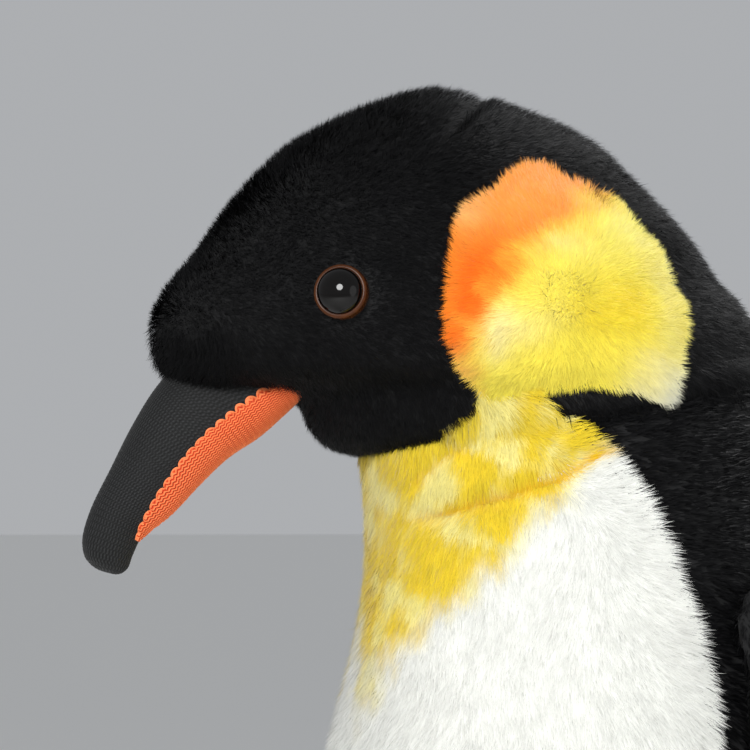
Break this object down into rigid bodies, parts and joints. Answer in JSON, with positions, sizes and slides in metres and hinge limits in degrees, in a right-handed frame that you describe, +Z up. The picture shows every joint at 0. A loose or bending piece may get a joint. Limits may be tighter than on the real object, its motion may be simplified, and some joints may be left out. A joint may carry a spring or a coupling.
{
  "type": "plush penguin",
  "caption": "Standing plush penguin with a bowed head that turns at the neck, a ribbed knit beak, safety eyes and hanging flippers.",
  "frame": {"origin": "middle of the flat base, on the floor", "axes": "+Z up, -Y the way the face looks, +X the penguin's left side"},
  "size_m": [0.168, 0.2202, 0.378],
  "materials": {
    "cream_plush": "long soft pile, dyed yellow at the throat",
    "sun_plush": "short soft pile, dyed from orange to yellow to white",
    "black_plush": "short soft pile",
    "base_cloth": "plain woven cloth",
    "bag_cloth": "plain woven cloth",
    "pellets": "small round granules",
    "filling": "loose fibre",
    "black_knit": "fine ribbed knit",
    "orange_knit": "ribbed tape with a looped edge",
    "amber": "polished, tinted",
    "black_gloss": "polished",
    "washer": "moulded"
  },
  "bodies": {
    "torso": {"bib_panel": "cream_plush", "back_panel_left": "black_plush", "back_panel_right": "black_plush", "base_panel": "base_cloth", "pellet_bag": "bag_cloth", "pellets": "pellets", "body_filling": "filling", "foot_left_upper": "black_plush", "foot_left_sole": "black_plush", "foot_left_filling": "filling", "foot_right_upper": "black_plush", "foot_right_sole": "black_plush", "foot_right_filling": "filling", "tail_upper": "black_plush", "tail_lower": "black_plush", "tail_filling": "filling"},
    "head": {"cheek_left": "black_plush", "cheek_right": "black_plush", "ear_patch_left": "sun_plush", "ear_patch_right": "sun_plush", "nape_panel": "black_plush", "head_filling": "filling", "beak_cover": "black_knit", "beak_filling": "filling", "beak_strip_left": "orange_knit", "beak_strip_right": "orange_knit", "eye_iris_left": "amber", "eye_dome_left": "black_gloss", "eye_washer_left": "washer", "eye_iris_right": "amber", "eye_dome_right": "black_gloss", "eye_washer_right": "washer"},
    "flipper_left": {"flipper_left_outer": "black_plush", "flipper_left_inner": "black_plush", "flipper_left_filling": "filling"},
    "flipper_right": {"flipper_right_outer": "black_plush", "flipper_right_inner": "black_plush", "flipper_right_filling": "filling"}
  },
  "joints": [
    {"name": "head_turn", "type": "hinge", "parent": "torso", "child": "head", "pos_m": [0, -0.009, 0.305], "axis": [0, -0.1564, 0.9877], "range_deg": [-20, 20], "stiffness_Nm_per_rad": 0.25},
    {"name": "flipper_left_lift", "type": "hinge", "parent": "torso", "child": "flipper_left", "pos_m": [0.05463, 0.03127, 0.26483], "axis": [0.5, -0.866, 0], "range_deg": [0, 75]},
    {"name": "flipper_right_lift", "type": "hinge", "parent": "torso", "child": "flipper_right", "pos_m": [-0.05463, 0.03127, 0.26483], "axis": [0.5, 0.866, 0], "range_deg": [0, 75]}
  ]
}
